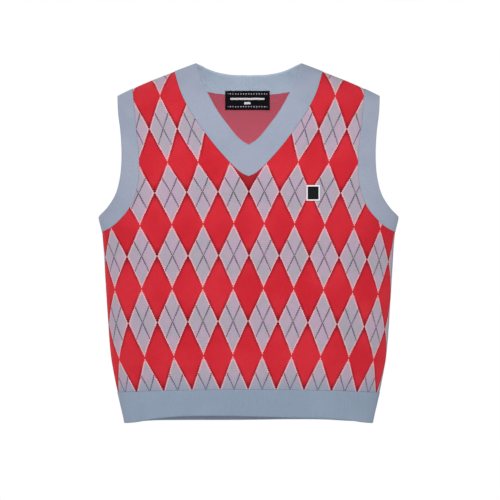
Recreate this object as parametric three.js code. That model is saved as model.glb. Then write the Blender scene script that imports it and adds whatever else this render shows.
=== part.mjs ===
// A knitted V-neck sweater vest, filled out as if it were worn, with nobody in it. Millimetres, +Z up, the
// front faces -Y. Every piece is a thin wall on one body form: the front and back panels, the front and back
// neck bands, a band round each armhole, the front and back hem bands, the woven label inside the back neck
// and the small blank patch on the chest. Heights are measured up from the hem's side corners.
import * as THREE from "three";

const FRONT = -1;
const BACK = 1;

const SEAM_GAP = 0.3;
const KNIT_THICKNESS = 2;
const BAND_THICKNESS = 3;
const BAND_PROUD = 0.6; // how far a band's outer face stands out from the panel beside it
const HELD_HEIGHT = 515; // of the middle of the two shoulder seams, where the shoulders carry the vest

// The body form: rings whose plan is a superellipse, with the front and back of different depth.
const SQUARENESS = 2.4; // 2 would be an ellipse
const SECTIONS = [
  { height: -12, halfWidth: 184, front: 76, back: 70 },
  { height: 8, halfWidth: 187.5, front: 79, back: 72 },
  { height: 34, halfWidth: 193.5, front: 84.5, back: 76 },
  { height: 61, halfWidth: 199.5, front: 89.5, back: 80 },
  { height: 105, halfWidth: 207, front: 93, back: 82 },
  { height: 195, halfWidth: 213.5, front: 97, back: 84 },
  { height: 285, halfWidth: 219.5, front: 102, back: 88 },
  { height: 309, halfWidth: 224.5, front: 103, back: 90 },
  { height: 360, halfWidth: 226, front: 101, back: 92 },
  { height: 430, halfWidth: 222, front: 92, back: 90 },
  { height: 490, halfWidth: 215, front: 80, back: 82 },
  { height: 580, halfWidth: 205, front: 64, back: 68 },
];

// The shoulder line, seen from the front: a straight slope, eased near the neck and drooping at its end.
const SHOULDER_TOP = 575.5;
const SHOULDER_SLOPE = 0.41;
const NECK_EASE = 40;
const DROOP_START = 140;
const DROOP = 0.001;
const SHOULDER_ROUNDING = 92; // how far below that line the cloth has turned to face fully forwards
const ROUNDING_FALL = 1.8; // these two shape the turn: 2 and 0.5 would be a quarter of an ellipse
const ROUNDING_CREST = 0.54;

// The joint lines and the open edges, each from the shoulder line down.
const FRONT_NECK_EDGE = [
  { x: 78, shoulder: true },
  { x: 74.5, height: 526 },
  { x: 69, height: 510 },
  { x: 60, height: 492 },
  { x: 45, height: 465 },
  { x: 31, height: 446 },
  { x: 14, height: 425.5 },
  { x: 0, height: 416 },
];
const FRONT_NECK_JOINT = [
  { x: 111, shoulder: true },
  { x: 99, height: 490 },
  { x: 64, height: 433 },
  { x: 28, height: 390 },
  { x: 10, height: 373.5 },
  { x: 0, height: 369 },
];
const BACK_NECK_EDGE = [
  { x: 78, shoulder: true },
  { x: 71, height: 537 },
  { x: 60, height: 532 },
  { x: 44, height: 527 },
  { x: 22, height: 524 },
  { x: 0, height: 523.5 },
];
const BACK_NECK_JOINT = [
  { x: 111, shoulder: true },
  { x: 91, height: 509.5 },
  { x: 60, height: 499 },
  { x: 30, height: 495.5 },
  { x: 0, height: 494.5 },
];
const ARMHOLE_EDGE = [
  { x: 197, shoulder: true },
  { x: 195.5, height: 466 },
  { x: 191.5, height: 436 },
  { x: 189.5, height: 398 },
  { x: 192, height: 367 },
  { x: 198, height: 344 },
  { x: 209.5, height: 325 },
  { side: true, height: 308.5 },
];
const ARMHOLE_JOINT = [
  { x: 174, shoulder: true },
  { x: 168, height: 445 },
  { x: 163, height: 397 },
  { x: 165, height: 357 },
  { x: 175, height: 326 },
  { x: 196, height: 300.5 },
  { side: true, height: 286.5 },
];

// The hem band's lower edge and the joint above it, round the front and the back.
const HEM_LINES = [
  { x: -188, frontEdge: 0, backEdge: 0, joint: 46.5 },
  { x: -168, frontEdge: 2.5, backEdge: 1, joint: 48 },
  { x: -140, frontEdge: 8, backEdge: 2.2, joint: 49.5 },
  { x: -95, frontEdge: 12.1, backEdge: 2.3, joint: 51 },
  { x: -45, frontEdge: 12.8, backEdge: 2.2, joint: 52 },
  { x: 0, frontEdge: 12, backEdge: 2.4, joint: 52.5 },
  { x: 60, frontEdge: 10.3, backEdge: 3.2, joint: 52 },
  { x: 115, frontEdge: 8.5, backEdge: 3.2, joint: 50.5 },
  { x: 150, frontEdge: 5.5, backEdge: 1.6, joint: 49 },
  { x: 172, frontEdge: 2, backEdge: 1, joint: 47.5 },
  { x: 188, frontEdge: 0, backEdge: 0, joint: 46.5 },
];

// Soft folds. x and height place the middle of each, lean is how far it moves sideways for each mm up, width
// and length are where it has faded to a third, and lift is out from the body, or in where it is negative.
const FOLD_FADE = 12; // the higher, the nearer to the side seam the folds reach
const FOLDS = [
  { on: FRONT, x: 172, height: 236, lean: 0.5, width: 15, length: 62, lift: -3.2 },
  { on: FRONT, x: 146, height: 205, lean: 0.4, width: 17, length: 74, lift: 2.2 },
  { on: FRONT, x: -168, height: 228, lean: -0.55, width: 14, length: 58, lift: -2.8 },
  { on: FRONT, x: -139, height: 190, lean: -0.35, width: 18, length: 80, lift: 2 },
  { on: FRONT, x: -96, height: 62, lean: -0.12, width: 20, length: 66, lift: -2.4 },
  { on: FRONT, x: -40, height: 70, lean: 0.06, width: 26, length: 84, lift: 2 },
  { on: FRONT, x: 78, height: 58, lean: 0.15, width: 19, length: 58, lift: -2.2 },
  { on: FRONT, x: 128, height: 80, lean: 0.2, width: 20, length: 70, lift: 1.8 },
  { on: FRONT, x: 128, height: 372, lean: -0.5, width: 15, length: 46, lift: -2.2 },
  { on: FRONT, x: -126, height: 380, lean: 0.45, width: 14, length: 42, lift: -1.8 },
  { on: BACK, x: 150, height: 262, lean: 0.3, width: 17, length: 92, lift: -3.6 },
  { on: BACK, x: 112, height: 240, lean: 0.22, width: 20, length: 100, lift: 2.6 },
  { on: BACK, x: -146, height: 250, lean: -0.34, width: 18, length: 88, lift: -3.4 },
  { on: BACK, x: -104, height: 226, lean: -0.18, width: 22, length: 96, lift: 2.4 },
  { on: BACK, x: -32, height: 96, lean: 0.08, width: 24, length: 80, lift: -2.4 },
  { on: BACK, x: 56, height: 74, lean: -0.06, width: 22, length: 62, lift: 2 },
];

// The label and the patch, by their middles and sizes.
const LABEL = { x: -1.8, height: 487, width: 68, tall: 29, thickness: 0.8, clear: 0.8 };
const PATCH = { x: 95.5, height: 344, width: 20, tall: 23, thickness: 0.9, clear: 0.5 };

// How finely the walls are cut.
const COLUMNS = 14; // across half a panel
const BAND_COLUMNS = 4; // across a band
const ROWS = { belowArm: 9, underArm: 5, chest: 7, shoulder: 9, hem: 3 };
const LABEL_GRID = { columns: 8, rows: 3 };
const PATCH_GRID = { columns: 4, rows: 4 };

const lerp = THREE.MathUtils.lerp;
const upTo = (count) => Array.from({ length: count + 1 }, (_, i) => i / Math.max(count, 1));
const signedPower = (value, power) => Math.sign(value) * Math.abs(value) ** power;

// A column of a table at some value of its first column, on a smooth curve through the rows.
function tableAt(table, key, column, value) {
  const last = table.length - 1;
  let i = 0;
  while (i < last - 1 && value > table[i + 1][key]) i += 1;
  const [a, b] = [table[i], table[i + 1]];
  const before = table[Math.max(i - 1, 0)];
  const after = table[Math.min(i + 2, last)];
  const span = b[key] - a[key];
  const slopeA = (b[column] - before[column]) / (b[key] - before[key]);
  const slopeB = (after[column] - a[column]) / (after[key] - a[key]);
  const t = (value - a[key]) / span;
  return (
    a[column] * (2 * t ** 3 - 3 * t ** 2 + 1) +
    slopeA * span * (t ** 3 - 2 * t ** 2 + t) +
    b[column] * (3 * t ** 2 - 2 * t ** 3) +
    slopeB * span * (t ** 3 - t ** 2)
  );
}

const sectionSize = (size, height) => tableAt(SECTIONS, "height", size, height);

function shoulderHeight(x) {
  const past = Math.max(0, Math.abs(x) - DROOP_START);
  return SHOULDER_TOP - SHOULDER_SLOPE * Math.hypot(x, NECK_EASE) - DROOP * past ** 2;
}

// Where a ring is at an angle from the middle of the front or back: a right angle is the side seam.
const sideways = (angle, height) =>
  sectionSize("halfWidth", height) * signedPower(Math.sin(angle), 2 / SQUARENESS);

function angleAt(x, height) {
  return Math.asin((x / sectionSize("halfWidth", height)) ** (SQUARENESS / 2));
}

function foldLift(on, x, height) {
  let lift = 0;
  for (const fold of FOLDS) {
    if (fold.on !== on) continue;
    const up = height - fold.height;
    const across = (x - fold.x - fold.lean * up) / fold.width;
    lift += fold.lift * Math.exp(-(across ** 2) - (up / fold.length) ** 2);
  }
  return lift;
}

// A point of the form. on is FRONT or BACK, and gap parts the two at the side and shoulder seams.
function formPoint(on, angle, height, gap) {
  const x = sideways(angle, height);
  const depth = sectionSize(on === FRONT ? "front" : "back", height);
  const drop = THREE.MathUtils.clamp((shoulderHeight(x) - height) / SHOULDER_ROUNDING, 0, 1);
  const turned = (1 - (1 - drop) ** ROUNDING_FALL) ** ROUNDING_CREST;
  const fadeAtSide = 1 - Math.sin(angle) ** FOLD_FADE;
  const out = depth * signedPower(Math.cos(angle), 2 / SQUARENESS) + foldLift(on, x, height) * fadeAtSide;
  return new THREE.Vector3(x, on * (out * turned + gap / 2), height);
}

const ANGLE_STEP = 0.002;
const HEIGHT_STEP = 0.05;
const SHOULDER_STEP = 0.5;

function formNormal(on, angle, height) {
  const x = sideways(angle, height);
  if (shoulderHeight(x) - height < 2 * HEIGHT_STEP) {
    const fall = shoulderHeight(x - SHOULDER_STEP) - shoulderHeight(x + SHOULDER_STEP);
    return new THREE.Vector3(fall, 0, 2 * SHOULDER_STEP).normalize();
  }
  const near = (angleStep, heightStep) => formPoint(on, angle + angleStep, height + heightStep, 0);
  const across = near(ANGLE_STEP, 0).sub(near(-ANGLE_STEP, 0));
  const up = near(0, HEIGHT_STEP).sub(near(0, -HEIGHT_STEP));
  return across.cross(up).multiplyScalar(-on).normalize();
}

const onForm = (on, angle, height, gap) => ({
  point: formPoint(on, angle, height, gap),
  normal: formNormal(on, angle, height),
});

// A place on the form is an angle and a drop, the distance below the shoulder line.
const placeAtHeight = (angle, height) => ({ angle, drop: shoulderHeight(sideways(angle, height)) - height });

const FIRST_GUESS = 400;
const GUESSES = 12;
function placeHeight(place) {
  let height = FIRST_GUESS;
  for (let i = 0; i < GUESSES; i += 1) {
    height = shoulderHeight(sideways(place.angle, height)) - place.drop;
  }
  return height;
}

// A smooth line on the form through a table's points. shift moves it sideways and down, to leave a seam's
// gap.
const ANGLE_SCALE = 200; // mm on the form for each radian, so that spacing along a line is even
const HALVINGS = 40;
function formLine(table, shift = { x: 0, height: 0 }) {
  const places = table.map((knot) => {
    const height = knot.height + shift.height;
    if (knot.side) return placeAtHeight(Math.PI / 2, height);
    const x = knot.x === 0 ? 0 : knot.x + shift.x;
    const drop = knot.shoulder ? 0 : shoulderHeight(x) - height;
    return { angle: angleAt(x, shoulderHeight(x) - drop), drop };
  });
  const curve = new THREE.CatmullRomCurve3(
    places.map((place) => new THREE.Vector3(place.angle * ANGLE_SCALE, place.drop, 0)),
    false,
    "centripetal",
  );
  const at = (share) => {
    const p = curve.getPointAt(THREE.MathUtils.clamp(share, 0, 1));
    return { angle: p.x / ANGLE_SCALE, drop: share <= 0 ? 0 : p.y };
  };
  // The share of the line at which it has come down to a drop.
  const shareAtDrop = (drop) => {
    let [low, high] = [0, 1];
    for (let i = 0; i < HALVINGS; i += 1) {
      const middle = (low + high) / 2;
      if (at(middle).drop < drop) low = middle;
      else high = middle;
    }
    return (low + high) / 2;
  };
  return { at, shareAtDrop };
}

// Places along a line, from its lower end up: evenly up to where the shoulder starts to turn, and from there
// in even steps of the turn.
function upLine(line, evenRows) {
  const turnShare = line.shareAtDrop(SHOULDER_ROUNDING);
  const even = upTo(evenRows).map((t) => line.at(lerp(1, turnShare, t)));
  const dropAfter = (turn) => SHOULDER_ROUNDING * (1 - Math.cos(((1 - turn) * Math.PI) / 2));
  const turning = upTo(ROWS.shoulder)
    .slice(1, -1)
    .map((turn) => line.at(line.shareAtDrop(dropAfter(turn))));
  return [...even, ...turning, line.at(0)];
}

// The same for a line round the back of the neck, which turns all the way.
const upNeckLine = (line) => upTo(ROWS.shoulder).map((t) => line.at(1 - Math.sin((t * Math.PI) / 2)));

// One row of points between two places, with the angle shared out evenly.
function rowBetween(on, hand, inner, outer, columns, alongShoulder, gap, heightChange = () => 0) {
  const [innerHeight, outerHeight] = [placeHeight(inner), placeHeight(outer)];
  return upTo(columns).map((u) => {
    const angle = lerp(inner.angle, outer.angle, u);
    const level = lerp(innerHeight, outerHeight, u);
    const sloped = placeHeight({ angle, drop: lerp(inner.drop, outer.drop, u) });
    const height = lerp(level, sloped, alongShoulder) + heightChange(angle, level, u);
    return onForm(on, hand * angle, height, gap);
  });
}

// The height of one of the hem's lines. hand is 1 on the wearer's left, where x is above 0, and -1 on the
// right.
function hemHeight(line, hand, angle) {
  const hemEnd = HEM_LINES.at(-1).x;
  return tableAt(HEM_LINES, "x", line, hand * hemEnd * Math.sin(angle) ** (2 / SQUARENESS));
}

// One half of a panel, from the hem joint to the shoulder seam.
function panelHalf(on, hand) {
  const shift = { x: SEAM_GAP, height: -SEAM_GAP };
  const neck = formLine(on === FRONT ? FRONT_NECK_JOINT : BACK_NECK_JOINT, shift);
  const armhole = formLine(ARMHOLE_JOINT, { x: -SEAM_GAP, height: -SEAM_GAP });
  const armRows = ROWS.underArm + ROWS.chest;
  const outerUpper = upLine(armhole, armRows);
  const innerUpper = on === FRONT ? upLine(neck, ROWS.chest) : upNeckLine(neck);
  const centreRows = ROWS.belowArm + (on === FRONT ? ROWS.underArm : armRows);
  const hemTop = (angle) => hemHeight("joint", hand, angle) + SEAM_GAP;
  const [hemCentre, hemSide] = [hemTop(0), hemTop(Math.PI / 2)];
  const centreTop = placeHeight(innerUpper[0]);
  const armBottom = placeHeight(outerUpper[0]);
  const rows = [];
  const rowCount = ROWS.belowArm + armRows + ROWS.shoulder;
  for (let i = 0; i <= rowCount; i += 1) {
    const inner =
      i < centreRows
        ? placeAtHeight(0, lerp(hemCentre, centreTop, i / centreRows))
        : innerUpper[i - centreRows];
    const outer =
      i < ROWS.belowArm
        ? placeAtHeight(Math.PI / 2, lerp(hemSide, armBottom, i / ROWS.belowArm))
        : outerUpper[i - ROWS.belowArm];
    const alongShoulder = THREE.MathUtils.clamp((i - ROWS.belowArm) / armRows, 0, 1);
    const hemShare = Math.max(0, 1 - i / ROWS.belowArm);
    const followHem = (angle, level, u) =>
      hemShare * (hemTop(angle) - lerp(hemCentre, hemSide, u));
    rows.push(rowBetween(on, hand, inner, outer, COLUMNS, alongShoulder, SEAM_GAP, followHem));
  }
  return rows;
}

// Half of a neck band, between its joint with the panel and the open edge.
function neckBandHalf(on, hand) {
  const joint = formLine(on === FRONT ? FRONT_NECK_JOINT : BACK_NECK_JOINT);
  const edge = formLine(on === FRONT ? FRONT_NECK_EDGE : BACK_NECK_EDGE);
  const places = (line) => (on === FRONT ? upLine(line, ROWS.chest) : upNeckLine(line));
  const edgePlaces = places(edge);
  const across = (place, i) => rowBetween(on, hand, place, edgePlaces[i], BAND_COLUMNS, 1, SEAM_GAP);
  return places(joint).map(across);
}

// The front or back half of an armhole band.
function armholeBandHalf(on, hand) {
  const places = (table) => upLine(formLine(table), ROWS.underArm + ROWS.chest);
  const [joint, edge] = [ARMHOLE_JOINT, ARMHOLE_EDGE].map(places);
  return joint.map((place, i) => rowBetween(on, hand, place, edge[i], BAND_COLUMNS, 1, 0));
}

function hemBandHalf(on, hand) {
  return upTo(ROWS.hem).map((t) =>
    upTo(COLUMNS).map((u) => {
      const angle = (u * Math.PI) / 2;
      const edge = hemHeight(on === FRONT ? "frontEdge" : "backEdge", hand, angle);
      const height = lerp(edge, hemHeight("joint", hand, angle), t);
      return onForm(on, hand * angle, height, SEAM_GAP);
    }),
  );
}

// A small rectangle that lies on the form.
function flatPiece(on, piece, { columns, rows }) {
  return upTo(rows).map((t) =>
    upTo(columns).map((u) => {
      const height = piece.height + (t - 0.5) * piece.tall;
      const x = piece.x + (u - 0.5) * piece.width;
      const angle = Math.sign(x) * angleAt(Math.abs(x), height);
      return onForm(on, angle, height, SEAM_GAP);
    }),
  );
}

// A closed wall from patches of points that share their common edges. outer and inner are how far its two
// faces lie from the form, along the form's normals.
const MERGE_STEPS_PER_MM = 1000;
function wallGeometry(patches, outer, inner) {
  const places = new Map();
  const samples = [];
  const indexOf = (sample) => {
    const key = sample.point
      .toArray()
      .map((value) => Math.round(value * MERGE_STEPS_PER_MM))
      .join();
    if (!places.has(key)) {
      places.set(key, samples.length);
      samples.push(sample);
    }
    return places.get(key);
  };
  const triangles = [];
  const addTriangle = (a, b, c) => {
    if (a === b || b === c || c === a) return;
    const [p, q, r] = [a, b, c].map((i) => samples[i].point);
    const facing = q.clone().sub(p).cross(r.clone().sub(p));
    const out = samples[a].normal.clone().add(samples[b].normal).add(samples[c].normal);
    triangles.push(facing.dot(out) > 0 ? [a, b, c] : [a, c, b]);
  };
  for (const rows of patches) {
    const indices = rows.map((row) => row.map(indexOf));
    for (let i = 0; i + 1 < rows.length; i += 1) {
      for (let j = 0; j + 1 < rows[i].length; j += 1) {
        const [a, b, c, d] = [indices[i][j], indices[i][j + 1], indices[i + 1][j + 1], indices[i + 1][j]];
        const lengthOf = (m, n) => samples[m].point.distanceTo(samples[n].point);
        const cutAC = lengthOf(a, c) < lengthOf(b, d);
        addTriangle(a, b, cutAC ? c : d);
        addTriangle(cutAC ? a : b, c, d);
      }
    }
  }
  const edges = new Set(triangles.flatMap(([a, b, c]) => [`${a},${b}`, `${b},${c}`, `${c},${a}`]));
  const innerOf = (i) => i + samples.length;
  const faces = triangles.flatMap(([a, b, c]) => [a, b, c, innerOf(c), innerOf(b), innerOf(a)]);
  for (const [a, b, c] of triangles) {
    for (const [from, to] of [
      [a, b],
      [b, c],
      [c, a],
    ]) {
      if (edges.has(`${to},${from}`)) continue;
      faces.push(to, from, innerOf(from), to, innerOf(from), innerOf(to));
    }
  }
  const layer = (offset) =>
    samples.flatMap(({ point, normal }) => point.clone().addScaledVector(normal, offset).toArray());
  const geometry = new THREE.BufferGeometry();
  geometry.setAttribute("position", new THREE.Float32BufferAttribute([...layer(outer), ...layer(inner)], 3));
  geometry.setIndex(faces);
  geometry.computeVertexNormals();
  return geometry;
}

const knitMaterial = new THREE.MeshStandardMaterial({ color: 0xc82c36, roughness: 0.9, metalness: 0 });
const bandMaterial = new THREE.MeshStandardMaterial({ color: 0x97a6ba, roughness: 0.9, metalness: 0 });
const labelMaterial = new THREE.MeshStandardMaterial({ color: 0x0d0d18, roughness: 0.7, metalness: 0 });
const patchMaterial = new THREE.MeshStandardMaterial({ color: 0x111111, roughness: 0.6, metalness: 0 });

const vest = new THREE.Group();
vest.position.z = -HELD_HEIGHT;

function add(name, material, geometry) {
  const mesh = new THREE.Mesh(geometry, material);
  mesh.name = name;
  vest.add(mesh);
}

const HANDS = { left: 1, right: -1 }; // of the wearer
const bothHands = (half) => Object.values(HANDS).map(half);
const bandWall = (patches) => wallGeometry(patches, BAND_PROUD, BAND_PROUD - BAND_THICKNESS);

for (const [name, on] of Object.entries({ front: FRONT, back: BACK })) {
  const panel = bothHands((hand) => panelHalf(on, hand));
  add(`${name}_panel`, knitMaterial, wallGeometry(panel, 0, -KNIT_THICKNESS));
  add(`${name}_neck_band`, bandMaterial, bandWall(bothHands((hand) => neckBandHalf(on, hand))));
  add(`${name}_hem_band`, bandMaterial, bandWall(bothHands((hand) => hemBandHalf(on, hand))));
}
for (const [name, hand] of Object.entries(HANDS)) {
  const halves = [FRONT, BACK].map((on) => armholeBandHalf(on, hand));
  add(`armhole_band_${name}`, bandMaterial, bandWall(halves));
}

const labelGrid = [flatPiece(BACK, LABEL, LABEL_GRID)];
const labelOut = BAND_PROUD - BAND_THICKNESS - LABEL.clear;
add("neck_label", labelMaterial, wallGeometry(labelGrid, labelOut, labelOut - LABEL.thickness));

const patchGrid = [flatPiece(FRONT, PATCH, PATCH_GRID)];
add("chest_patch", patchMaterial, wallGeometry(patchGrid, PATCH.clear + PATCH.thickness, PATCH.clear));

export default vest;
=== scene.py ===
"""A knitted argyle sweater vest, filled out as if worn, on the same body form as its solids.

Tables are in millimetres, with heights above the hem's side corners. Meshes are in metres, in the
row's frame.
"""

import math

import bpy
import numpy as np
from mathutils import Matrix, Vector


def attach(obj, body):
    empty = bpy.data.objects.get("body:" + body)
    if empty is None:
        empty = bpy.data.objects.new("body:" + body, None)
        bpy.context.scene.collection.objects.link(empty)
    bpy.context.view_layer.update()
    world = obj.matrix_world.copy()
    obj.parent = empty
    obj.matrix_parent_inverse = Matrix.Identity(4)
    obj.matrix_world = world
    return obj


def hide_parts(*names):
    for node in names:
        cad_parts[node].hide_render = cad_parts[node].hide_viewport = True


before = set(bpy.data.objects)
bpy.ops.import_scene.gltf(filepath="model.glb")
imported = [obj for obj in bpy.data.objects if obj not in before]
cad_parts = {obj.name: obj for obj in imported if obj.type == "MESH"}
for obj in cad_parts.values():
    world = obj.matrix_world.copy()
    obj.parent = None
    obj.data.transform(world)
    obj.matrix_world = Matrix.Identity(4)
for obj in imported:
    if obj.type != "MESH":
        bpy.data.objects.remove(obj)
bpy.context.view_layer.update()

MM = 0.001
FRONT, BACK = -1, 1
WEARERS_LEFT, WEARERS_RIGHT = 1, -1
HELD_HEIGHT = 515.0

KNIT_THICKNESS = 2.0
BAND_PROUD = 0.6
BAND_THICKNESS = 3.0
MIDDLE = -1.0  # where the walls of all the pieces meet at a seam, from the form's surface
SEAM_ROUNDING = 0.9
SEAM_DIP = 0.45
EDGE_ROUNDING = 1.5
RIM_STEPS = (0.0, 0.15, 0.4, 0.8, 1.4)  # distances from a rim at which its rounding is cut
TURN_LENGTH = 110.0  # about how far the cloth runs over a shoulder


def table(columns, *rows):
    """A short table as one array for each named column."""
    return dict(zip(columns.split(), np.array(rows, float).T))


SQUARENESS = 2.4
SECTIONS = table(
    "height half_width front back",
    (-12, 184, 76, 70),
    (8, 187.5, 79, 72),
    (34, 193.5, 84.5, 76),
    (61, 199.5, 89.5, 80),
    (105, 207, 93, 82),
    (195, 213.5, 97, 84),
    (285, 219.5, 102, 88),
    (309, 224.5, 103, 90),
    (360, 226, 101, 92),
    (430, 222, 92, 90),
    (490, 215, 80, 82),
    (580, 205, 64, 68),
)

SHOULDER_TOP = 575.5
SHOULDER_SLOPE = 0.41
NECK_EASE = 40.0
DROOP_START = 140.0
DROOP = 0.001
SHOULDER_ROUNDING = 92.0
ROUNDING_FALL = 1.8
ROUNDING_CREST = 0.54

SHOULDER = "shoulder"
SIDE = "side"
FRONT_NECK_EDGE = [
    (78, SHOULDER),
    (74.5, 526),
    (69, 510),
    (60, 492),
    (45, 465),
    (31, 446),
    (14, 425.5),
    (0, 416),
]
FRONT_NECK_JOINT = [(111, SHOULDER), (99, 490), (64, 433), (28, 390), (10, 373.5), (0, 369)]
BACK_NECK_EDGE = [(78, SHOULDER), (71, 537), (60, 532), (44, 527), (22, 524), (0, 523.5)]
BACK_NECK_JOINT = [(111, SHOULDER), (91, 509.5), (60, 499), (30, 495.5), (0, 494.5)]
ARMHOLE_EDGE = [
    (197, SHOULDER),
    (195.5, 466),
    (191.5, 436),
    (189.5, 398),
    (192, 367),
    (198, 344),
    (209.5, 325),
    (SIDE, 308.5),
]
ARMHOLE_JOINT = [
    (174, SHOULDER),
    (168, 445),
    (163, 397),
    (165, 357),
    (175, 326),
    (196, 300.5),
    (SIDE, 286.5),
]

HEM_END = 188.0
HEM_LINES = table(
    "x front_edge back_edge joint",
    (-188, 0, 0, 46.5),
    (-168, 2.5, 1, 48),
    (-140, 8, 2.2, 49.5),
    (-95, 12.1, 2.3, 51),
    (-45, 12.8, 2.2, 52),
    (0, 12, 2.4, 52.5),
    (60, 10.3, 3.2, 52),
    (115, 8.5, 3.2, 50.5),
    (150, 5.5, 1.6, 49),
    (172, 2, 1, 47.5),
    (188, 0, 0, 46.5),
)

# Folds: the solids have the first 16 rows too, and the rest are narrower or shallower.
FOLD_FADE = 12
FOLDS = table(
    "on x height lean width length lift",
    (FRONT, 172, 236, 0.5, 15, 62, -3.2),
    (FRONT, 146, 205, 0.4, 17, 74, 2.2),
    (FRONT, -168, 228, -0.55, 14, 58, -2.8),
    (FRONT, -139, 190, -0.35, 18, 80, 2),
    (FRONT, -96, 62, -0.12, 20, 66, -2.4),
    (FRONT, -40, 70, 0.06, 26, 84, 2),
    (FRONT, 78, 58, 0.15, 19, 58, -2.2),
    (FRONT, 128, 80, 0.2, 20, 70, 1.8),
    (FRONT, 128, 372, -0.5, 15, 46, -2.2),
    (FRONT, -126, 380, 0.45, 14, 42, -1.8),
    (BACK, 150, 262, 0.3, 17, 92, -3.6),
    (BACK, 112, 240, 0.22, 20, 100, 2.6),
    (BACK, -146, 250, -0.34, 18, 88, -3.4),
    (BACK, -104, 226, -0.18, 22, 96, 2.4),
    (BACK, -32, 96, 0.08, 24, 80, -2.4),
    (BACK, 56, 74, -0.06, 22, 62, 2),
    (FRONT, -62, 235, -0.1, 22, 60, -0.8),
    (FRONT, 38, 180, 0.12, 24, 70, 0.8),
    (FRONT, 92, 262, 0.3, 14, 38, -0.7),
    (FRONT, 20, 318, -0.4, 15, 34, -0.6),
    (FRONT, -88, 330, 0.35, 16, 44, 0.7),
    (FRONT, 150, 120, 0.1, 12, 46, -0.9),
    (FRONT, -158, 118, -0.08, 12, 50, -0.9),
    (BACK, 20, 300, 0.1, 26, 80, -1),
    (BACK, -70, 380, 0.5, 18, 52, -1.1),
    (BACK, 76, 398, -0.5, 18, 48, -1),
    (BACK, 4, 180, -0.1, 20, 70, 0.9),
    (FRONT, 196, 262, 0.35, 9, 30, -2.2),
    (FRONT, 184, 250, 0.55, 10, 34, 1.6),
    (FRONT, -198, 256, -0.3, 9, 28, -2.1),
    (FRONT, -183, 244, -0.5, 10, 36, 1.5),
    (FRONT, 150, 292, -0.6, 11, 30, -0.8),
    (FRONT, -152, 304, 0.7, 11, 30, -0.8),
    (BACK, 188, 276, 0.45, 10, 40, -3),
    (BACK, 169, 266, 0.6, 10, 36, 2.4),
    (BACK, -190, 268, -0.4, 10, 38, -2.8),
    (BACK, -171, 260, -0.55, 11, 40, 2.3),
    (BACK, 118, 332, 0.9, 11, 34, -2.8),
    (BACK, -128, 322, -0.8, 12, 36, -2.6),
    (BACK, 30, 440, 0.15, 13, 40, 1.2),
    (BACK, -60, 150, 0.2, 12, 44, -2.4),
    (BACK, 96, 128, -0.25, 11, 38, -2.4),
    (BACK, 142, 92, 0.1, 10, 34, 2),
    (BACK, -130, 102, -0.12, 11, 36, 2.2),
    (FRONT, 183, 402, 0, 14, 13, 0.8),
    (FRONT, 186, 446, 0, 13, 15, -0.7),
    (FRONT, -184, 380, 0, 15, 12, -0.8),
    (FRONT, -186, 424, 0, 13, 14, 0.8),
    (BACK, 182, 414, 0, 14, 15, 0.9),
    (BACK, 186, 372, 0, 14, 12, -0.9),
    (BACK, -183, 396, 0, 14, 13, 0.9),
    (BACK, -186, 440, 0, 13, 14, -0.9),
)


def table_at(values, key, column, at):
    """A column of a table at some value of its key, on a smooth curve through the rows."""
    xs, ys = values[key], values[column]
    last = len(xs) - 1
    i = np.clip(np.searchsorted(xs, at) - 1, 0, last - 1)
    before, after = np.maximum(i - 1, 0), np.minimum(i + 2, last)
    span = xs[i + 1] - xs[i]
    slope_a = (ys[i + 1] - ys[before]) / (xs[i + 1] - xs[before])
    slope_b = (ys[after] - ys[i]) / (xs[after] - xs[i])
    t = (at - xs[i]) / span
    return (
        ys[i] * (2 * t**3 - 3 * t**2 + 1)
        + slope_a * span * (t**3 - 2 * t**2 + t)
        + ys[i + 1] * (3 * t**2 - 2 * t**3)
        + slope_b * span * (t**3 - t**2)
    )


def section(size, height):
    return table_at(SECTIONS, "height", size, height)


def signed_power(value, power):
    return np.sign(value) * np.abs(value) ** power


def shoulder_height(x):
    past = np.maximum(0, np.abs(x) - DROOP_START)
    return SHOULDER_TOP - SHOULDER_SLOPE * np.hypot(x, NECK_EASE) - DROOP * past**2


def sideways(angle, height):
    return section("half_width", height) * signed_power(np.sin(angle), 2 / SQUARENESS)


def angle_at(x, height):
    share = np.abs(x) / section("half_width", height)
    return np.sign(x) * np.arcsin(np.minimum(share, 1) ** (SQUARENESS / 2))


def fold_lift(on, x, height):
    lift = np.zeros(np.broadcast(x, height).shape)
    for row in zip(*FOLDS.values()):
        fold = dict(zip(FOLDS, row))
        if fold["on"] != on:
            continue
        up = height - fold["height"]
        across = (x - fold["x"] - fold["lean"] * up) / fold["width"]
        lift = lift + fold["lift"] * np.exp(-(across**2) - (up / fold["length"]) ** 2)
    return lift


def ripple(on, x, height):
    """A slight unevenness over all the cloth."""
    across = np.sin(x / 15 + 1.7 * np.sin(height / 47 + on)) * np.sin(height / 24 + x / 60)
    finer = np.sin(x / 7.3 + height / 31) * np.sin(height / 11 - x / 19 + 2 * on)
    gathers = np.sin(x / 6.4 + 1.9 * np.sin(x / 37 + on)) * np.exp(-(((height - 66) / 30) ** 2))
    return 0.22 * across + 0.07 * finer + 0.4 * gathers


def form_point(on, angle, height):
    """A point of the body form. on is FRONT or BACK, and a right angle is the side seam."""
    x = sideways(angle, height)
    depth = section("front" if on == FRONT else "back", height)
    drop = np.clip((shoulder_height(x) - height) / SHOULDER_ROUNDING, 0, 1)
    turned = (1 - (1 - drop) ** ROUNDING_FALL) ** ROUNDING_CREST
    fade = 1 - np.sin(angle) ** FOLD_FADE
    relief = (fold_lift(on, x, height) + ripple(on, x, height)) * fade
    out = depth * signed_power(np.cos(angle), 2 / SQUARENESS) + relief
    return np.stack(np.broadcast_arrays(x, on * out * turned, height), axis=-1)


ANGLE_STEP = 0.002
HEIGHT_STEP = 0.05
SHOULDER_STEP = 0.5
FIRST_HEIGHT, HEIGHT_ROUNDS = 400.0, 14


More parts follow.
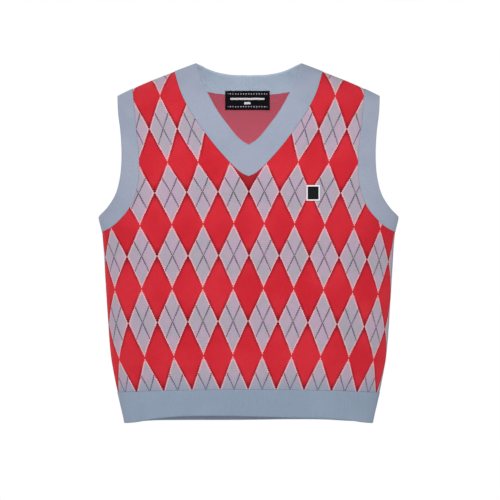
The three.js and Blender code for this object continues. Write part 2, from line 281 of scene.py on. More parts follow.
def form_normal(on, angle, height):
    x = sideways(angle, height)
    at_shoulder = shoulder_height(x) - height < 2 * HEIGHT_STEP
    fall = shoulder_height(x - SHOULDER_STEP) - shoulder_height(x + SHOULDER_STEP)
    over = np.stack([fall, np.zeros_like(fall), np.full_like(fall, 2 * SHOULDER_STEP)], axis=-1)
    across = form_point(on, angle + ANGLE_STEP, height) - form_point(on, angle - ANGLE_STEP, height)
    up = form_point(on, angle, height + HEIGHT_STEP) - form_point(on, angle, height - HEIGHT_STEP)
    normal = np.where(at_shoulder[..., None], over, -on * np.cross(across, up))
    return normal / np.linalg.norm(normal, axis=-1, keepdims=True)


def place_height(angle, drop):
    """The height of the form's point at an angle, so far below the shoulder line."""
    height = np.full(np.broadcast(angle, drop).shape, FIRST_HEIGHT)
    for _ in range(HEIGHT_ROUNDS):
        height = shoulder_height(sideways(angle, height)) - drop
    return height


class Line:
    """A smooth line on the form through a list of points, from the shoulder down."""

    ANGLE_SCALE = 200.0
    STEPS = 80

    def __init__(self, knots):
        places = np.array([self.place(*knot) for knot in knots])
        scaled = places * (self.ANGLE_SCALE, 1)
        dense = self.spline(scaled)
        lengths = np.linalg.norm(np.diff(dense, axis=0), axis=1)
        self.shares = np.concatenate([[0], np.cumsum(lengths)]) / lengths.sum()
        self.angles, self.drops = dense[:, 0] / self.ANGLE_SCALE, dense[:, 1]

    @staticmethod
    def place(x, height):
        if x == SIDE:
            angle = math.pi / 2
            return angle, float(shoulder_height(sideways(angle, height)) - height)
        drop = 0.0 if height == SHOULDER else float(shoulder_height(x) - height)
        return float(angle_at(x, shoulder_height(x) - drop)), drop

    def spline(self, points):
        """A centripetal Catmull-Rom curve."""
        first, last = 2 * points[0] - points[1], 2 * points[-1] - points[-2]
        padded = np.vstack([first, points, last])
        t = np.linspace(0, 1, self.STEPS, endpoint=False)[:, None]
        pieces = []
        for p0, p1, p2, p3 in zip(padded, padded[1:], padded[2:], padded[3:]):
            d0, d1, d2 = (np.linalg.norm(b - a) ** 0.5 for a, b in ((p0, p1), (p1, p2), (p2, p3)))
            t1 = ((p1 - p0) / d0 - (p2 - p0) / (d0 + d1) + (p2 - p1) / d1) * d1
            t2 = ((p2 - p1) / d1 - (p3 - p1) / (d1 + d2) + (p3 - p2) / d2) * d1
            curve = p1 + t1 * t + (3 * (p2 - p1) - 2 * t1 - t2) * t**2
            pieces.append(curve + (2 * (p1 - p2) + t1 + t2) * t**3)
        return np.vstack([*pieces, points[-1]])

    def at(self, shares):
        angle = np.interp(shares, self.shares, self.angles)
        return angle, np.where(np.asarray(shares) <= 0, 0, np.interp(shares, self.shares, self.drops))

    def share_at_drop(self, drop):
        return np.interp(drop, self.drops, self.shares)


def rimmed(count, length, start=True, end=True):
    """Shares from 0 to 1 in even steps, with finer steps near a rim at either end of a length."""
    fine = np.array(RIM_STEPS) / length
    low, high = (fine[-1] if start else 0), (fine[-1] if end else 0)
    parts = [fine[:-1]] if start else []
    parts.append(np.linspace(low, 1 - high, count))
    if end:
        parts.append(1 - fine[:-1][::-1])
    return np.concatenate(parts)


def turn_shares(count, start=0.0):
    """Steps of the shoulder's turn, from 0 where it starts to 1 at the seam, finer near the seam."""
    fine = np.array(RIM_STEPS[::-1]) / TURN_LENGTH
    even = np.linspace(start, 1 - fine[0], count)
    return np.concatenate([even, 1 - fine[1:]])


def up_line(line, even_rows, turn_rows):
    """Places along a line from its lower end up: even ones, and then steps of the shoulder's turn."""
    turn_start = line.share_at_drop(SHOULDER_ROUNDING)
    shares = 1 - even_rows * (1 - turn_start)
    drops = SHOULDER_ROUNDING * (1 - np.cos((1 - turn_rows[1:]) * math.pi / 2))
    return line.at(np.concatenate([shares, line.share_at_drop(drops)]))


def up_neck_line(line, turn_rows):
    return line.at(1 - np.sin(turn_rows * math.pi / 2))


def across_rows(inner, outer, columns, along_shoulder=1.0):
    """Angles and heights of rows of points between two lists of places."""
    (angle_in, drop_in), (angle_out, drop_out) = inner, outer
    height_in, height_out = place_height(angle_in, drop_in), place_height(angle_out, drop_out)
    u = columns[None, :]

    def between(a, b):
        return a[:, None] * (1 - u) + b[:, None] * u

    angle = between(angle_in, angle_out)
    level = between(height_in, height_out)
    sloped = place_height(angle, between(drop_in, drop_out))
    share = np.broadcast_to(np.asarray(along_shoulder, float), angle_in.shape)[:, None]
    return angle, level * (1 - share) + sloped * share


def hem_line(column, x):
    return table_at(HEM_LINES, "x", column, np.clip(x, -HEM_END, HEM_END))


def hem_x(angle):
    return HEM_END * signed_power(np.sin(angle), 2 / SQUARENESS)


# Rows and columns of each piece's grid, and its rough sizes, which space the fine steps at its rims.
BELOW_ARM, UNDER_ARM, CHEST, TURN = 70, 22, 34, 40
PANEL_COLUMNS, PANEL_WIDTH, BELOW_ARM_LENGTH = 74, 180, 240
NECK_CHEST, NECK_TURN, NECK_COLUMNS, NECK_WIDTH = 60, 46, 14, 40
ARM_EVEN, ARM_TURN, ARM_COLUMNS, ARM_WIDTH = 96, 40, 12, 26
HEM_COLUMNS, HEM_LENGTH, HEM_ROWS, HEM_WIDTH = 110, 240, 16, 45


def panel_half(on, hand):
    """Angles and heights of half a panel's points, and the row where its neck edge starts."""
    neck = Line(FRONT_NECK_JOINT if on == FRONT else BACK_NECK_JOINT)
    armhole = Line(ARMHOLE_JOINT)
    turn = turn_shares(TURN)
    under, chest = np.linspace(0, 1, UNDER_ARM + 1), np.linspace(0, 1, CHEST + 1)
    arm_rows = UNDER_ARM + CHEST
    outer_up = up_line(armhole, np.linspace(0, 1, arm_rows + 1), turn)
    if on == FRONT:
        inner_up, rises = up_line(neck, chest, turn), under
    else:
        inner_up, rises = up_neck_line(neck, turn), np.linspace(0, 1, arm_rows + 1)
    below = rimmed(BELOW_ARM, BELOW_ARM_LENGTH, end=False)
    centre_top = float(place_height(inner_up[0][0], inner_up[1][0]))
    arm_bottom = float(place_height(outer_up[0][0], outer_up[1][0]))
    hem_centre, hem_side = (float(hem_line("joint", x)) for x in (0.0, hand * HEM_END))

    share = len(below) / (len(below) + len(rises) - 1)
    centre_steps = np.concatenate([below * share, share + (1 - share) * rises[1:]])
    centre_heights = hem_centre + centre_steps * (centre_top - hem_centre)
    side_heights = hem_side + below * (arm_bottom - hem_side)

    def place(angle, heights):
        angles = np.full(len(heights), angle)
        return angles, shoulder_height(sideways(angles, heights)) - heights

    centre, side = place(0.0, centre_heights), place(math.pi / 2, side_heights)
    inner = [np.concatenate([c, i[1:]]) for c, i in zip(centre, inner_up)]
    outer = [np.concatenate([s, o[1:]]) for s, o in zip(side, outer_up)]
    rows = np.arange(len(inner[0]))
    along = np.clip((rows - len(below) + 1) / arm_rows, 0, 1)
    columns = rimmed(PANEL_COLUMNS, PANEL_WIDTH)
    angle, height = across_rows(inner, outer, columns, along)
    hem_share = np.clip(1 - rows / (len(below) - 1), 0, 1)[:, None]
    straight = hem_centre * (1 - columns) + hem_side * columns
    height = height + hem_share * (hem_line("joint", hand * hem_x(angle)) - straight)
    return hand * angle, height, len(centre_heights) - 1


def neck_band_half(on, hand):
    joint = Line(FRONT_NECK_JOINT if on == FRONT else BACK_NECK_JOINT)
    edge = Line(FRONT_NECK_EDGE if on == FRONT else BACK_NECK_EDGE)
    turn = turn_shares(NECK_TURN)
    if on == FRONT:
        chest = np.linspace(0, 1, NECK_CHEST)
        joint_places, edge_places = (up_line(line, chest, turn) for line in (joint, edge))
    else:
        joint_places, edge_places = (up_neck_line(line, turn) for line in (joint, edge))
    angle, height = across_rows(joint_places, edge_places, rimmed(NECK_COLUMNS, NECK_WIDTH))
    return hand * angle, height


def armhole_band_half(hand):
    turn = turn_shares(ARM_TURN)
    even = np.linspace(0, 1, ARM_EVEN)
    joint, edge = (up_line(Line(knots), even, turn) for knots in (ARMHOLE_JOINT, ARMHOLE_EDGE))
    angle, height = across_rows(joint, edge, rimmed(ARM_COLUMNS, ARM_WIDTH))
    return hand * angle, height


def hem_band_half(on, hand):
    columns = rimmed(HEM_COLUMNS, HEM_LENGTH, start=False) * math.pi / 2
    rows = rimmed(HEM_ROWS, HEM_WIDTH)[:, None]
    x = hand * hem_x(columns)[None, :]
    edge = hem_line("front_edge" if on == FRONT else "back_edge", x)
    height = edge * (1 - rows) + hem_line("joint", x) * rows
    return hand * np.broadcast_to(columns[None, :], height.shape), height


SEAM, FREE = "seam", "free"
FAR = 1e6  # a distance at which no rim is rounded


def rim_fall(distance, radius):
    """0 away from a rim, rising to 1 at it, on a quarter circle."""
    share = np.clip(distance / radius, 0, 1)
    return 1 - np.sqrt(1 - (1 - share) ** 2)


def lengths_along(points, axis):
    """Distances along a grid's rows or columns, from their start and from their end."""
    steps = np.linalg.norm(np.diff(points, axis=axis), axis=-1)
    zero = np.zeros_like(np.take(steps, [0], axis=axis))
    start = np.concatenate([zero, np.cumsum(steps, axis=axis)], axis=axis)
    return start, np.take(start, [-1], axis=axis) - start


def offsets(points, outer, inner, rims, neck_row=0):
    """How far a wall's two faces lie from the form, rounded towards its rims.

    rims says what the first row, the last row, the first column and the last column are: SEAM, FREE or
    None. The first column is a rim from neck_row up.
    """
    out = np.full(points.shape[:2], float(outer))
    back = np.full(points.shape[:2], float(inner))
    distances = [*lengths_along(points, 0), *lengths_along(points, 1)]
    rows = np.arange(points.shape[0])[:, None]
    for number, (kind, distance) in enumerate(zip(rims, distances)):
        if kind is None:
            continue
        if number == 2:
            distance = np.where(rows >= neck_row, distance, FAR)
        if kind == SEAM:
            fall = SEAM_DIP * rim_fall(distance, SEAM_ROUNDING)
            out, back = np.minimum(out, outer - fall), np.maximum(back, inner + fall)
        else:
            fall = rim_fall(distance, EDGE_ROUNDING)
            out = np.minimum(out, outer - (outer - MIDDLE) * fall)
            back = np.maximum(back, inner + (MIDDLE - inner) * fall)
    return out, back


WELD = 0.02  # points closer than this are one


class Piece:
    """A closed wall gathered from grids of points, with its own place on the knitting for each corner."""

    def __init__(self, name):
        self.name = name
        self.points, self.faces, self.uvs, self.slots = [], [], [], []
        self.area = 0.0

    def add_grid(self, points, uv, slot, facing):
        start = sum(len(p) for p in self.points)
        rows, columns = points.shape[:2]
        index = start + np.arange(rows * columns).reshape(rows, columns)
        quads = np.stack([index[:-1, :-1], index[:-1, 1:], index[1:, 1:], index[1:, :-1]], axis=-1)
        p = points
        cross = np.cross(p[:-1, 1:] - p[:-1, :-1], p[1:, :-1] - p[:-1, :-1])
        if (cross * facing[:-1, :-1]).sum() < 0:
            quads = quads[..., ::-1]
        self.points.append(points.reshape(-1, 3))
        self.faces.append(quads.reshape(-1, 4))
        self.uvs.append(uv.reshape(-1, 2))
        self.slots.append(np.full(quads.shape[0] * quads.shape[1], slot))
        return np.linalg.norm(cross, axis=-1).sum()

    def add_wall(self, on, angle, height, uv, outer, inner, rims, neck_row=0):
        """Adds a wall over a grid of the form, with rim faces wherever rims names one."""
        points, normals = form_point(on, angle, height), form_normal(on, angle, height)
        out, back = offsets(points, outer, inner, rims, neck_row)
        front_face = points + normals * out[..., None]
        back_face = points + normals * back[..., None]
        self.area += self.add_grid(front_face, uv, 0, normals)
        self.add_grid(back_face, uv, 1, -normals)
        away = points - points.mean(axis=(0, 1))
        for number, kind in enumerate(rims):
            if kind is None:
                continue
            pick = [np.s_[:1, :], np.s_[-1:, :], np.s_[neck_row:, :1], np.s_[:, -1:]][number]
            pair = [g[pick].reshape(1, -1, g.shape[-1]) for g in (front_face, back_face)]
            rim_uv = np.repeat(uv[pick].reshape(1, -1, 2), 2, axis=0)
            facing = np.repeat(away[pick].reshape(1, -1, 3), 2, axis=0)
            self.add_grid(np.concatenate(pair), rim_uv, 0, facing)

    def build(self, materials):
        points = np.concatenate(self.points)
        faces, slots = np.concatenate(self.faces), np.concatenate(self.slots)
        uvs = np.concatenate(self.uvs)
        _, first, welded = np.unique(
            np.round(points / WELD).astype(np.int64), axis=0, return_index=True, return_inverse=True
        )
        points, corners = points[first], welded.reshape(-1)[faces]
        kept, kept_uv, kept_slots = [], [], []
        for corner, source, slot in zip(corners.tolist(), faces.tolist(), slots.tolist()):
            keep = [k for k in range(4) if corner[k] != corner[k - 1]]
            if len(keep) < 3 or len({corner[k] for k in keep}) < 3:
                continue
            kept.append([corner[k] for k in keep])
            kept_uv.extend(source[k] for k in keep)
            kept_slots.append(slot)
        mesh = bpy.data.meshes.new(self.name)
        world = points * MM - (0, 0, HELD_HEIGHT * MM)
        mesh.from_pydata(world.tolist(), [], kept)
        layer = mesh.uv_layers.new(name="knit")
        layer.data.foreach_set("uv", uvs[kept_uv].astype(np.float32).ravel())
        for material in materials:
            mesh.materials.append(material)
        mesh.polygons.foreach_set("material_index", kept_slots)
        mesh.polygons.foreach_set("use_smooth", [True] * len(kept))
        mesh.update()
        obj = bpy.data.objects.new(self.name, mesh)
        bpy.context.scene.collection.objects.link(obj)
        return obj


# The argyle's place on the cloth, as it shows in the photograph. A repeat is one diamond across, and a
# step is half a diamond up: red centres lie on odd steps, and grey ones half a repeat to the side on even
# steps.
WALES = 32  # stitches across a repeat
COURSES = 46  # stitches up a step
REPEATS = table(
    "height width middle spread bend_right bend_left droop_right droop_left",
    (0, 40.5, -0.4, 0, 0.05, 0.01, 0.4, 0.4),
    (53, 41.5, -0.7, 0, 0.05, 0.01, 0.38, 0.4),
    (102, 43.4, -1.5, 0, 0.045, 0.012, 0.36, 0.4),
    (152, 44.4, -0.8, 0, 0.045, 0.005, 0.24, 0.53),
    (202, 44.8, -0.4, 0, 0.045, 0.008, 0.12, 0.44),
    (251, 44.8, 0.5, 0, 0.052, 0.01, 0.14, 0.38),
    (298, 45, 0.6, 0, 0.068, 0.012, 0.25, 0.38),
    (346, 45.2, 0.4, 0.4, 0.075, 0.025, 0.22, 0.24),
    (390, 46, -0.6, 5.4, 0, 0, 0, 0),
    (440, 42.9, -0.8, 19.7, 0, 0, 0, 0),
    (489, 45.5, -1.4, 17.6, 0, 0, 0, 0),
    (545, 46, -1.4, 18, 0, 0, 0, 0),
)
STEPS_UP = table(
    "height step",
    (-47, -2),
    (3, -1),
    (53.5, 0),
    (103.8, 1),
    (154.2, 2),
    (203.3, 3),
    (251.8, 4),
    (298.8, 5),
    (346.3, 6),
    (390, 7),
    (439.5, 8),
    (489.5, 9),
    (540.5, 10),
    (590, 11),
)
SPREAD_START = 16.0
BEND_LENGTH = 200.0
STRETCH_LIMIT = 1.45  # the most that a course is drawn out on its way over the shoulder
TURN_DEPTH, TURN_HALF_WIDTH = 72.0, 218.0  # a rough section of the form at the shoulders
TURN_END = 0.98


def ring_lengths():
    """Lengths round the rings from the middle, over a grid of heights and angles."""
    heights = np.linspace(-20, 580, 121)
    angles = np.linspace(0, math.pi / 2, 301)
    h, a = np.meshgrid(heights, angles, indexing="ij")
    by_side = {}
    for on, column in ((FRONT, "front"), (BACK, "back")):
        x = sideways(a, h)
        y = section(column, h) * np.cos(a) ** (2 / SQUARENESS)
        steps = np.hypot(np.diff(x, axis=1), np.diff(y, axis=1))
        by_side[on] = np.concatenate([np.zeros((len(heights), 1)), np.cumsum(steps, axis=1)], axis=1)
    return heights, angles, by_side


RING_HEIGHTS, RING_ANGLES, RING_LENGTHS = ring_lengths()


def grid_lookup(values, xs, ys, x, y):
    """Linear interpolation in an even grid of values."""
    i = np.clip((x - xs[0]) / (xs[1] - xs[0]), 0, len(xs) - 1.001)
    j = np.clip((y - ys[0]) / (ys[1] - ys[0]), 0, len(ys) - 1.001)
    i0, j0 = i.astype(int), j.astype(int)
    fi, fj = i - i0, j - j0
    low = values[i0, j0] * (1 - fj) + values[i0, j0 + 1] * fj
    high = values[i0 + 1, j0] * (1 - fj) + values[i0 + 1, j0 + 1] * fj
    return low * (1 - fi) + high * fi


def turn_extra():
    """The height that the knitting gains on its way over the shoulder, by distance out and depth below."""
    xs = np.linspace(0, 220, 45)
    roots = np.linspace(0, 1, 201)
    drops = SHOULDER_ROUNDING * roots**2
    out = (1 - (1 - drops / SHOULDER_ROUNDING) ** ROUNDING_FALL) ** ROUNDING_CREST
    extra = []
    for x in xs:
        outward = min(x / TURN_HALF_WIDTH, TURN_END)
        depth = TURN_DEPTH * (1 - outward**SQUARENESS) ** (1 / SQUARENESS)
        run = np.hypot(np.diff(drops), np.diff(depth * out))
        gain = np.maximum(0, run / STRETCH_LIMIT - np.diff(drops))
        extra.append(np.concatenate([np.cumsum(gain[::-1])[::-1], [0]]))
    return xs, roots, np.array(extra)


TURN_XS, TURN_ROOTS, TURN_EXTRA = turn_extra()


def knitting(on, angle, height):
    """The stitch across and the stitch up at each point of a panel, with a stitch's middle on repeats."""
    across = {column: table_at(REPEATS, "height", column, height) for column in REPEATS}
    length = grid_lookup(RING_LENGTHS[on], RING_HEIGHTS, RING_ANGLES, height, np.abs(angle))
    length = np.sign(angle) * length
    if on == FRONT:
        length = length - across["middle"]
        reach = np.abs(length)
        bend = np.where(length > 0, across["bend_left"], across["bend_right"])
        reach = reach - across["spread"] * (1 - np.exp(-reach / SPREAD_START))
        reach = reach / (1 + bend * (reach / BEND_LENGTH) ** 2)
        length = np.sign(length) * reach
    repeats = length / across["width"]
    x = sideways(angle, height)
    below = np.clip((shoulder_height(x) - height) / SHOULDER_ROUNDING, 0, 1)
    extra = grid_lookup(TURN_EXTRA, TURN_XS, TURN_ROOTS, np.abs(x), np.sqrt(below))
    droop = np.where(x > 0, across["droop_left"], across["droop_right"]) * repeats**2
    step = table_at(STEPS_UP, "height", "step", height + extra + droop)
    return np.stack([repeats * WALES + 0.5, step * COURSES], axis=-1)


def band_ribbing(on, angle, height, by_row):
    """Millimetres along a band and across it. Rows run across it, from its joint to its free edge."""
    points = form_point(on, angle, height)
    along = lengths_along(points, 0)[1]
    if by_row:
        along = np.broadcast_to(along.mean(axis=1, keepdims=True), along.shape)
    across = lengths_along(points, 1)[0]
    return np.stack([along, across], axis=-1)


FUZZ_SCALE = 2600.0
CLOTH_SPECULAR = 0.06


class Nodes:
    """A material's nodes, with short calls for the sums."""

    def __init__(self, name):
        self.material = bpy.data.materials.new(name)
        self.material.use_nodes = True
        self.tree = self.material.node_tree
        self.tree.nodes.clear()
        self.shader = self.make("ShaderNodeBsdfPrincipled")
        output = self.make("ShaderNodeOutputMaterial")
        self.tree.links.new(self.shader.outputs["BSDF"], output.inputs["Surface"])

    def make(self, kind, **settings):
        node = self.tree.nodes.new(kind)
        for key, value in settings.items():
            setattr(node, key, value)
        return node

    def feed(self, socket, value):
        if isinstance(value, bpy.types.NodeSocket):
            self.tree.links.new(value, socket)
        else:
            socket.default_value = value

    def sum(self, operation, *values):
        node = self.make("ShaderNodeMath", operation=operation)
        for socket, value in zip(node.inputs, values):
            self.feed(socket, value)
        return node.outputs[0]

    def add(self, a, b):
        return self.sum("ADD", a, b)

    def minus(self, a, b):
        return self.sum("SUBTRACT", a, b)

    def times(self, a, b):
        return self.sum("MULTIPLY", a, b)

    def less(self, a, b):
        return self.sum("LESS_THAN", a, b)

    def fraction(self, a):
        return self.sum("FRACT", a)

    def wave(self, a):
        """A cosine wave from 0 to 1, which peaks where a is a whole number."""
        turns = self.times(a, 2 * math.pi)
        return self.sum("MULTIPLY_ADD", self.sum("COSINE", turns), 0.5, 0.5)

    def ramp(self, value, low, high):
        """0 up to low and 1 from high, smoothly between."""
        node = self.make("ShaderNodeMapRange", interpolation_type="SMOOTHSTEP")
        for socket, given in zip(node.inputs, (value, low, high, 0.0, 1.0)):
            self.feed(socket, given)
        return node.outputs["Result"]

    def mix(self, factor, a, b, blend="MIX"):
        node = self.make("ShaderNodeMix", data_type="RGBA", blend_type=blend)
        colours = [s for s in node.inputs if s.type == "RGBA"]
        self.feed(node.inputs["Factor"], factor)
        self.feed(colours[0], a)
        self.feed(colours[1], b)
        return next(s for s in node.outputs if s.type == "RGBA")

    def shade(self, colour, value):
        """A colour made lighter or darker by a number."""
        scale = self.make("ShaderNodeVectorMath", operation="SCALE")
        self.feed(scale.inputs[0], colour)
        self.feed(scale.inputs["Scale"], value)
        return scale.outputs[0]

    def uv(self):
        node = self.make("ShaderNodeUVMap", uv_map="knit")
        split = self.make("ShaderNodeSeparateXYZ")
        self.tree.links.new(node.outputs["UV"], split.inputs[0])
        return split.outputs["X"], split.outputs["Y"]

    def join(self, x, y, z=0.0):
        node = self.make("ShaderNodeCombineXYZ")
        for socket, value in zip(node.inputs, (x, y, z)):
            self.feed(socket, value)
        return node.outputs[0]

    def random(self, x, y):
        node = self.make("ShaderNodeTexWhiteNoise", noise_dimensions="2D")
        self.feed(node.inputs["Vector"], self.join(x, y))
        return node.outputs["Value"]

    def place(self):
        return self.make("ShaderNodeTexCoord").outputs["Object"]

    def distance(self, point):
        node = self.make("ShaderNodeVectorMath", operation="DISTANCE")
        self.feed(node.inputs[0], self.place())
        self.feed(node.inputs[1], point)
        return node.outputs["Value"]

    def noise(self, scale, detail=3.0):
        node = self.make("ShaderNodeTexNoise")
        self.tree.links.new(self.place(), node.inputs["Vector"])
        node.inputs["Scale"].default_value = scale
        node.inputs["Detail"].default_value = detail
        return node.outputs["Fac"]

    def bump(self, height, distance, strength, under=None):
        node = self.make("ShaderNodeBump")
        self.feed(node.inputs["Height"], height)
        node.inputs["Distance"].default_value = distance
        node.inputs["Strength"].default_value = strength
        if under is not None:
            self.tree.links.new(under, node.inputs["Normal"])
        return node.outputs["Normal"]

    def fuzz(self, strength):
        return self.bump(self.noise(FUZZ_SCALE, 2.0), 0.0002, strength)

    def finish(self, colour, normal, roughness):
        self.feed(self.shader.inputs["Base Color"], colour)
        self.feed(self.shader.inputs["Normal"], normal)
        self.shader.inputs["Roughness"].default_value = roughness
        self.shader.inputs["Specular IOR Level"].default_value = CLOTH_SPECULAR
        return self.material


def srgb(red, green, blue, light):
    """A colour on the screen's scale of 0 to 255 as a linear one, with its light scaled."""

    def linear(value):
        value /= 255
        return value / 12.92 if value <= 0.04045 else ((value + 0.055) / 1.055) ** 2.4

    return (*(linear(value) * light for value in (red, green, blue)), 1.0)


# The colours that the photograph shows, and how much darker the yarn is than they look in this light.
YARN_LIGHT = 0.64
RED = srgb(202, 43, 55, YARN_LIGHT)
DEEP_RED = srgb(194, 34, 47, YARN_LIGHT)
# a dark red painted as shade at the red diamonds' edges and tips
RED_IN_PAINTED_SHADE = srgb(98, 14, 30, YARN_LIGHT)
LILAC_GREY = srgb(176, 157, 174, YARN_LIGHT)
BLUE_GREY = srgb(166, 158, 169, YARN_LIGHT)
EDGE_PINK = srgb(240, 178, 180, YARN_LIGHT)
LINE_PLUM = srgb(66, 48, 76, YARN_LIGHT)
RIB_BLUE = srgb(148, 155, 172, YARN_LIGHT)
RIB_BLUE_DEEP = srgb(142, 151, 168, YARN_LIGHT)
# The ribs' inside faces are the same yarn made lighter: painted light for the light that reaches inside.
RIB_INSIDE = srgb(174, 191, 209, YARN_LIGHT)
RIB_INSIDE_DEEP = srgb(168, 186, 205, YARN_LIGHT)
# The hem's blue is darker than the other ribs' partly in its own tone and partly as painted shade for its
# low, downward-facing place.
HEM_BLUE = srgb(138, 152, 170, YARN_LIGHT)
HEM_BLUE_DEEP = srgb(133, 148, 166, YARN_LIGHT)
# The hem's inside face is the same yarn made lighter: painted light for the light that reaches inside.
HEM_INSIDE = srgb(159, 174, 195, YARN_LIGHT)
HEM_INSIDE_DEEP = srgb(152, 168, 188, YARN_LIGHT)
WRONG_SIDE_ROSE = srgb(211, 85, 104, YARN_LIGHT)
WRONG_SIDE_GREY = srgb(184, 96, 112, YARN_LIGHT)
LABEL_BLACK = srgb(3, 4, 12, YARN_LIGHT)
THREAD_WHITE = srgb(236, 236, 240, YARN_LIGHT)
PATCH_BLACK = srgb(18, 18, 22, YARN_LIGHT)

STITCH_RISE = 0.55  # how far a stitch's two legs climb, in courses


def stitches(n):
    """The V of each stitch: its whole numbers across and up, and its relief."""
    across, up = n.uv()
    side = n.times(n.sum("ABSOLUTE", n.minus(n.fraction(across), 0.5)), 2.0)
    climbed = n.minus(up, n.times(side, STITCH_RISE))
    column, course = n.sum("FLOOR", across), n.sum("FLOOR", climbed)
    off_leg = n.minus(n.times(side, 2.0), 1.0)
    leg = n.sum("SQRT", n.sum("MAXIMUM", n.minus(1.0, n.times(off_leg, off_leg)), 0.0))
    along = n.sum("SINE", n.times(n.fraction(climbed), math.pi))
    relief = n.times(leg, n.sum("MULTIPLY_ADD", along, 0.45, 0.55))
    return column, course, relief


PAINTED_SHADOW_POINT = (0, -0.1, -0.156)  # where a painted shadow of the neck's point darkens the red below it, in metres


def diamond_place(n, stitch_across, course_up):
    """How far aside and how far up or down a stitch is from the middle of a red diamond, as shares."""
    repeat, step = n.times(stitch_across, 1 / WALES), n.times(course_up, 1 / COURSES)
    aside = n.times(n.sum("ABSOLUTE", n.minus(repeat, n.sum("ROUND", repeat))), 2.0)
    return aside, n.sum("PINGPONG", n.add(step, 1.0), 1.0)


def argyle_material():
    n = Nodes("argyle_right_side")
    column, course, relief = stitches(n)
    aside, away = diamond_place(n, column, n.add(course, 0.5 + STITCH_RISE / 2))
    reach = n.add(aside, away)  # under 1 in a red diamond
    across, up = n.uv()
    even_aside, even_away = diamond_place(n, n.minus(across, 0.5), up)
    even_reach = n.add(even_aside, even_away)  # the same, without its steps
    stitch = 2.0 / WALES
    wander = n.noise(14.0)
    red = n.mix(n.ramp(wander, 0.35, 0.65), RED, DEEP_RED)
    towards_tips = n.ramp(away, 0.1, 0.4)
    # painted shade: the red darkens towards the diamond's edges and its top and bottom tips
    edge_shade = n.times(n.times(n.ramp(even_reach, 1 - 3 * stitch, 1.0), 0.62), towards_tips)
    tip_shade = n.times(n.ramp(away, 0.66, 1.0), 0.95)
    red = n.mix(n.sum("MAXIMUM", edge_shade, tip_shade), red, RED_IN_PAINTED_SHADE)
    # painted shadow: the red is darkened close to the neck's point
    red = n.shade(red, n.sum("MULTIPLY_ADD", n.ramp(n.distance(PAINTED_SHADOW_POINT), 0.01, 0.03), 0.4, 0.6))
    grey = n.mix(n.ramp(n.noise(30.0), 0.38, 0.62), LILAC_GREY, BLUE_GREY)
    near_hem = n.minus(1.0, n.ramp(up, 0.0, 0.5 * COURSES))
    grey = n.mix(n.times(near_hem, 0.7), grey, HEM_BLUE)
    edging = n.minus(1.0, n.ramp(even_reach, 1 + 0.8 * stitch, 1 + 2.6 * stitch))
    edged = n.mix(n.times(edging, 0.72), grey, EDGE_PINK)
    on_line = n.less(n.sum("ABSOLUTE", n.minus(aside, away)), 0.6 * stitch)
    clear = n.less(1 + stitch, reach)
    lined = n.mix(n.times(on_line, n.times(clear, 0.85)), edged, LINE_PLUM)
    colour = n.mix(n.less(reach, 1 + 0.5 * stitch), lined, red)
    yarn = n.sum("MULTIPLY_ADD", n.random(column, course), 0.1, 0.95)
    # painted shade: the colour darkens in the dips of each stitch
    depth = n.sum("MULTIPLY_ADD", relief, 0.22, 0.8)
    colour = n.shade(colour, n.times(yarn, depth))
    return n.finish(colour, n.bump(relief, 0.0004, 0.7, n.fuzz(0.35)), 0.92)


def wrong_side_material():
    """The inside of the argyle: purl bumps in which both yarns show, mostly the red one."""
    n = Nodes("argyle_wrong_side")
    across, up = n.uv()
    bow = n.times(n.wave(across), 0.3)
    rows = n.add(up, bow)
    relief = n.wave(rows)
    checks = n.random(n.sum("FLOOR", across), n.sum("FLOOR", rows))
    colour = n.mix(checks, WRONG_SIDE_ROSE, WRONG_SIDE_GREY)
    patchy = n.sum("MULTIPLY_ADD", n.noise(16.0), 0.16, 0.9)
    # painted shade: the colour darkens between the purl rows, on top of a random patchy tone
    colour = n.shade(colour, n.times(patchy, n.sum("MULTIPLY_ADD", relief, 0.18, 0.82)))
    return n.finish(colour, n.bump(relief, 0.0005, 0.6, n.fuzz(0.35)), 0.9)


RIB_PITCH = 2.5  # mm, one raised wale and one sunk one
RIB_COURSE = 1.3
HEM_REPEAT, HEM_STEP = 45.5, 49.0  # mm in a repeat and a step, where the hem carries them on


def rib_material(name, light, deep, mm_per_across=1.0, mm_per_up=1.0):
    n = Nodes(name)
    across, up = n.uv()
    across, up = n.times(across, mm_per_across), n.times(up, mm_per_up)
    wale = n.wave(n.times(across, 1 / RIB_PITCH))
    raised = n.sum("POWER", wale, 0.7)
    vee = n.times(n.sum("ABSOLUTE", n.minus(n.fraction(n.times(across, 1 / RIB_PITCH)), 0.5)), -1.2)
    loops = n.wave(n.add(n.times(up, 1 / RIB_COURSE), vee))
    relief = n.add(raised, n.times(loops, 0.25))
    colour = n.mix(n.ramp(n.noise(18.0), 0.35, 0.65), light, deep)
    leg, course = n.times(across, 2 / RIB_PITCH), n.times(up, 1 / RIB_COURSE)
    yarn = n.random(n.sum("FLOOR", leg), n.sum("FLOOR", course))
    tone = n.sum("MULTIPLY_ADD", yarn, 0.05, 0.975)
    # painted shade: the colour darkens in the sunk wales and between the loops
    furrow_shade = n.sum("MULTIPLY_ADD", relief, 0.1, 0.9)
    colour = n.shade(colour, n.times(tone, furrow_shade))
    return n.finish(colour, n.bump(relief, 0.00055, 0.6, n.fuzz(0.3)), 0.88)


LABEL = {"x": -1.8, "height": 487.0, "width": 68.0, "tall": 29.0}
PATCH = {"x": 95.5, "height": 344.0, "width": 20.0, "tall": 23.0}


def near(n, value, middle, half):
    return n.less(n.sum("ABSOLUTE", n.minus(value, middle)), half)


